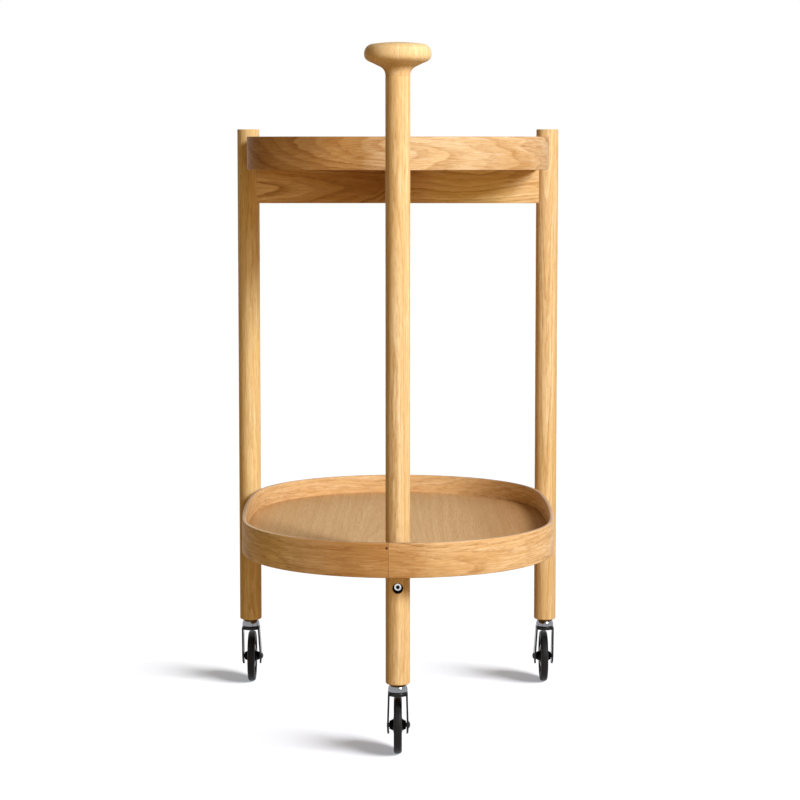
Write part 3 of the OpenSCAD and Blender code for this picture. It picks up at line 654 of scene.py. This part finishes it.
def lower_band(s, z, d):
    """The lower band's timber: nearly straight grain with a slow sway."""
    sway = 0.004 * math.sin(2 * math.pi * s / 0.7)
    return (s + LOWER_RIM_FROM, z + LOWER_RIM_UP, 0.105 - 0.045 * s + sway - d)


def upper_band(s, z, d):
    """The upper band's timber: flames running down to the right on the left of the front, a pointed
    figure on the right of it, and the two growing together at the back."""
    q = s if s < UPPER_ROUND / 2 else s - UPPER_ROUND
    back = fade(0.40 * UPPER_ROUND, 0.50 * UPPER_ROUND, abs(q)) / 2
    left = 1 - back if q >= 0 else back
    heart = 0.070 + (0.045 + 0.050 * left) * min(abs(q), 0.30)
    return (s + 6.1, z - 0.026 * left + 0.003, heart - d)


def lower_tone(share):
    """Browner on both sides of the seam, paler at the left of the front."""
    left = 0.80 * (1 - fade(0.03, 0.11, share))
    pale = 0.7 * fade(0.07, 0.10, share) * (1 - fade(0.15, 0.18, share))
    return left - pale + 0.20 * fade(0.80, 0.93, share) + 0.45 * fade(0.960, 0.985, share)


def upper_rim_tone_and_painted_shade(share):
    """Painted shade round the front left corner, where the knob and front leg shade the rim, and a little darker
    at the front right one.
    """
    left = (0.50 + 0.62 * fade(0.01, 0.05, share)) * (1 - fade(0.20, 0.42, share))
    return left + 0.58 * fade(0.70, 0.80, share) * (1 - fade(0.85, 0.95, share))


bent_rim("lower_tray_rim", open_at(lower_path, LOWER_SEAM), lower_band, lower_tone, "oak_low")
bent_rim("upper_tray_rim", open_at(upper_path, UPPER_SEAM), upper_band, upper_rim_tone_and_painted_shade, "oak_pale")
# The lower board darkens towards its right: painted shadow of the rim's right side
tray_board("lower_tray_board", lower_path, 71, 0.040, 0.02, 0.020, lambda c: 0.75 * fade(0.05, 0.19, c.x))
tray_board("upper_tray_board", upper_path, 83, 0.045, 0.03, -0.03)


# Rails and stretchers

def screw_heads():
    """The middle of each tray screw's head, on its lower face."""
    screws = []
    for v in frame["nodes"]["tray_screws"].data.vertices:
        for points in screws:
            away = points[0] - v.co
            if away.xy.length < SCREW_REACH and (points[0].z > TIERS_PART) == (v.co.z > TIERS_PART):
                points.append(v.co.copy())
                break
        else:
            screws.append([v.co.copy()])
    heads = []
    for points in screws:
        x, y, z = ([p[axis] for p in points] for axis in (X, Y, Z))
        heads.append(Vector(((min(x) + max(x)) / 2, (min(y) + max(y)) / 2, min(z))))
    return heads


HEADS = screw_heads()


def bar(node, axis, low_end, high_end):
    """A bar with eased edges along an axis. low_end and high_end give where it stops, from the
    sideways distance to its own middle line."""
    mid, half = centre(node), size(node, 1 - axis) / 2
    z0, z1, e = bottom(node), top(node), BAR_EDGE
    steps, parts = 24, 8

    def corner(s, z, *angles):
        return [(s + e * math.cos(math.radians(a)), z + e * math.sin(math.radians(a))) for a in angles]

    # Section as (sideways, height): lower face, its right corner, and so on round
    across = [(half - e) * (2 * i / parts - 1) for i in range(parts + 1)]
    section = [(s, z0) for s in across]
    section += corner(half - e, z0 + e, -60, -30, 0) + corner(half - e, z1 - e, 0, 30, 60)
    section += [(s, z1) for s in reversed(across)]
    section += corner(e - half, z1 - e, 120, 150, 180) + corner(e - half, z0 + e, 180, 210, 240)
    m = len(section)
    verts, faces = [], []
    for i in range(steps + 1):
        for s, z in section:
            along = low_end(s) + (high_end(s) - low_end(s)) * i / steps
            sideways = mid[1 - axis] + s
            verts.append((along, sideways, z) if axis == X else (sideways, along, z))
    for i in range(steps):
        for j in range(m):
            a, b = i * m + j, i * m + (j + 1) % m
            faces.append((a, b, b + m, a + m))
    faces += [tuple(reversed(range(m))), tuple(range(steps * m, (steps + 1) * m))]
    return make(node + "_eased", verts, faces, 40.0)


def round_leg(at, side):
    """Where a bar that meets a leg stops, by its sideways distance. side is 1 past the leg, -1 before."""
    return lambda s: at + side * math.sqrt(max(0.0, (LEG_R + GLUE) ** 2 - s * s))


def crosspiece(node, axis, low_end, high_end, place, look, tone_and_painted_light=lambda c: 0.0):
    """A rail or stretcher, counterbored from below for the heads of its tray screws."""
    o = bar(node, axis, low_end, high_end)
    below = bottom(node)
    heads = [h for h in HEADS if (h.z > TIERS_PART) == (below > TIERS_PART) and
             (abs(h.y - RAIL_Y) < SCREW_REACH) == (axis == X)]
    start, end = below - BELOW_TIMBER, heads[0].z + PAST_HEAD
    spots = [Vector((h.x, h.y, (start + end) / 2)) for h in heads]
    cut(o, rods(spots, SCREW_HOLE_R, end - start))
    set_grain(o, place)
    set_tone_and_painted_light(o, tone_and_painted_light)
    finish_piece(o, "oak", node, look)


UPPER_RAIL = centre("upper_rear_rail")


def upper_rail_timber(c):
    """Pointed figure on the left half, long hanging curves on the right half."""
    u, deep, v = c - UPPER_RAIL
    right = fade(-0.03, 0.025, u)
    rise = (1 - right) * 0.059 * u + right * 0.10 * math.hypot(u - 0.104, 0.04)
    return (u + 2.3, v + 0.004 - 0.036 * right, deep + 0.050 + rise)


def upper_rail_painted_shade_and_light(c):
    """Painted shade, darkest left of the middle under the tray and beside the front leg, and painted light,
    paler towards the right where light passes the tray.
    """
    dark = 0.50 * max(0.0, 1 - abs(c.x + 0.050) / 0.13)
    return dark - 0.9 * fade(0.02, 0.08, c.x) * (1 - fade(0.15, 0.18, c.x))


rail_ends = (round_leg(-RAIL_X, 1), round_leg(RAIL_X, -1))
stretcher_ends = (round_leg(LEGS["front"].y, 1), lambda s: RAIL_BACK - GLUE)
crosspiece("upper_rear_rail", X, *rail_ends, upper_rail_timber, "oak_rail", upper_rail_painted_shade_and_light)
crosspiece("upper_stretcher", Y, *stretcher_ends,
           timber(43, Y, Z, centre("upper_stretcher"), 0.036, 0.03), "oak")
crosspiece("lower_rear_rail", X, *rail_ends,
           timber(47, X, Z, centre("lower_rear_rail"), 0.030, 0.03, 0.01), "oak_rail")
crosspiece("lower_stretcher", Y, *stretcher_ends,
           timber(53, Y, Z, centre("lower_stretcher"), 0.034, 0.02, -0.01), "oak")


# The other pieces keep the shapes of their nodes

SLOTS = {part["node"]: part["material_slot"] for part in frame["record"]["subparts"]}
for node, o in frame["nodes"].items():
    if node not in replaced:
        o.data.materials.clear()
        o.data.materials.append(MATERIAL[SLOTS[node]])


# Floor and surroundings: white where they are seen, weaker and warmer as fill light

def shader(tree, kind, colour, strength=None):
    n = tree.nodes.new(kind)
    n.inputs[0].default_value = (*colour, 1.0)
    if strength is not None:
        n.inputs[1].default_value = strength
    return n.outputs[0]


def seen_or_not(tree, seen, unseen):
    """One shader for what is seen straight or in a reflection, another for all other light."""
    path = tree.nodes.new("ShaderNodeLightPath")
    either = path.outputs["Is Camera Ray"]
    for ray in ("Is Glossy Ray", "Is Transmission Ray"):
        n = tree.nodes.new("ShaderNodeMath")
        n.operation = "MAXIMUM"
        tree.links.new(either, n.inputs[0])
        tree.links.new(path.outputs[ray], n.inputs[1])
        either = n.outputs[0]
    choice = tree.nodes.new("ShaderNodeMixShader")
    for socket, value in zip(choice.inputs, (either, unseen, seen)):
        tree.links.new(value, socket)
    return choice.outputs[0]


def floor_paper():
    mat = bpy.data.materials.new("floor_white")
    mat.use_nodes = True
    tree = mat.node_tree
    tree.nodes.clear()
    lit = tree.nodes.new("ShaderNodeAddShader")
    tree.links.new(shader(tree, "ShaderNodeBsdfDiffuse", (0.55, 0.56, 0.58)), lit.inputs[0])
    tree.links.new(shader(tree, "ShaderNodeEmission", (0.84, 0.90, 1.0), 0.34), lit.inputs[1])
    bounce = shader(tree, "ShaderNodeBsdfDiffuse", (0.215, 0.130, 0.042))
    out = tree.nodes.new("ShaderNodeOutputMaterial")
    tree.links.new(seen_or_not(tree, lit.outputs[0], bounce), out.inputs[0])
    return mat


def studio():
    world = bpy.data.worlds.new("studio")
    world.use_nodes = True
    tree = world.node_tree
    tree.nodes.clear()
    white = shader(tree, "ShaderNodeBackground", (1.0, 1.0, 1.0), 1.0)
    fill = shader(tree, "ShaderNodeBackground", (1.0, 0.68, 0.24), 0.16)
    out = tree.nodes.new("ShaderNodeOutputWorld")
    tree.links.new(seen_or_not(tree, white, fill), out.inputs[0])
    return world


FLOOR_HALF = 12.0
floor_mesh = bpy.data.meshes.new("floor")
corners = [(FLOOR_HALF * x, FLOOR_HALF * y, 0.0) for x, y in ((-1, -1), (1, -1), (1, 1), (-1, 1))]
floor_mesh.from_pydata(corners, [], [(0, 1, 2, 3)])
floor_mesh.materials.append(floor_paper())
floor = new_object("floor", floor_mesh)
floor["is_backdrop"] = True
bpy.context.scene.world = studio()


# Lamps and camera

LAMP_DISTANCE = 3.4
CART_MIDDLE = Vector((0.0, 0.0, 0.45))


def heading(azimuth, elevation):
    """The direction a lamp shines from, in degrees round from the front by the right, and up."""
    a, e = math.radians(azimuth), math.radians(elevation)
    return Vector((math.sin(a) * math.cos(e), -math.cos(a) * math.cos(e), math.sin(e)))


def place_lamp(name, data, direction):
    o = new_object(name, data)
    o.rotation_mode = "QUATERNION"
    o.rotation_quaternion = direction.to_track_quat("Z", "Y")
    return o


def group(name, objects, state="INCLUDE"):
    """A collection outside the scene that says what a lamp lights, or what blocks it."""
    c = bpy.data.collections.new(name)
    for o in objects:
        c.objects.link(o)
    for member in c.collection_objects:
        member.light_linking.link_state = state
    return c


def soft_lamp(name, direction, width, level, colour=(1.0, 1.0, 1.0)):
    """A round lamp for all but the floor. level is what a white face turned to it shows."""
    data = bpy.data.lights.new(name, "AREA")
    data.shape = "DISK"
    data.size = width
    data.energy = level * math.pi ** 2 * LAMP_DISTANCE ** 2
    data.color = colour
    o = place_lamp(name, data, direction)
    o.location = CART_MIDDLE + direction * LAMP_DISTANCE
    o.light_linking.receiver_collection = group("all_but_floor", [floor], "EXCLUDE")
    return o


soft_lamp("key", heading(40, 27), 1.1, 1.12)
for fill_lamp in (soft_lamp("front", heading(12, 3), 1.8, 0.21, (1.0, 0.82, 0.52)),
                  soft_lamp("back", heading(180, 6), 2.0, 0.45)):
    fill_lamp.visible_glossy = False

# The floor has a lamp of its own from the same side, shaded by the casters alone
floor_light = bpy.data.lights.new("floor_lamp", "SUN")
floor_light.angle = math.radians(30)
floor_light.energy = 7.5
floor_lamp = place_lamp("floor_lamp", floor_light, heading(56, 31))
floor_lamp.light_linking.receiver_collection = group("floor_only", [floor])
floor_lamp.light_linking.blocker_collection = group("casters", [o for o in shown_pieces() if "caster" in o.name])

camera = bpy.data.cameras.new("camera")
camera.sensor_width = 36.0
camera.lens = 101.26
camera.shift_x = 0.00275
camera.shift_y = -0.085
camera.clip_start = 0.05
camera.clip_end = 100.0
CAMERA_TILT = 4.827
stand = new_object("camera", camera)
stand.location = (0.0, -3.139, 0.8061)
stand.rotation_euler = (math.radians(90 - CAMERA_TILT), 0.0, 0.0)
bpy.context.scene.camera = stand
bpy.context.scene.view_settings.view_transform = "Standard"
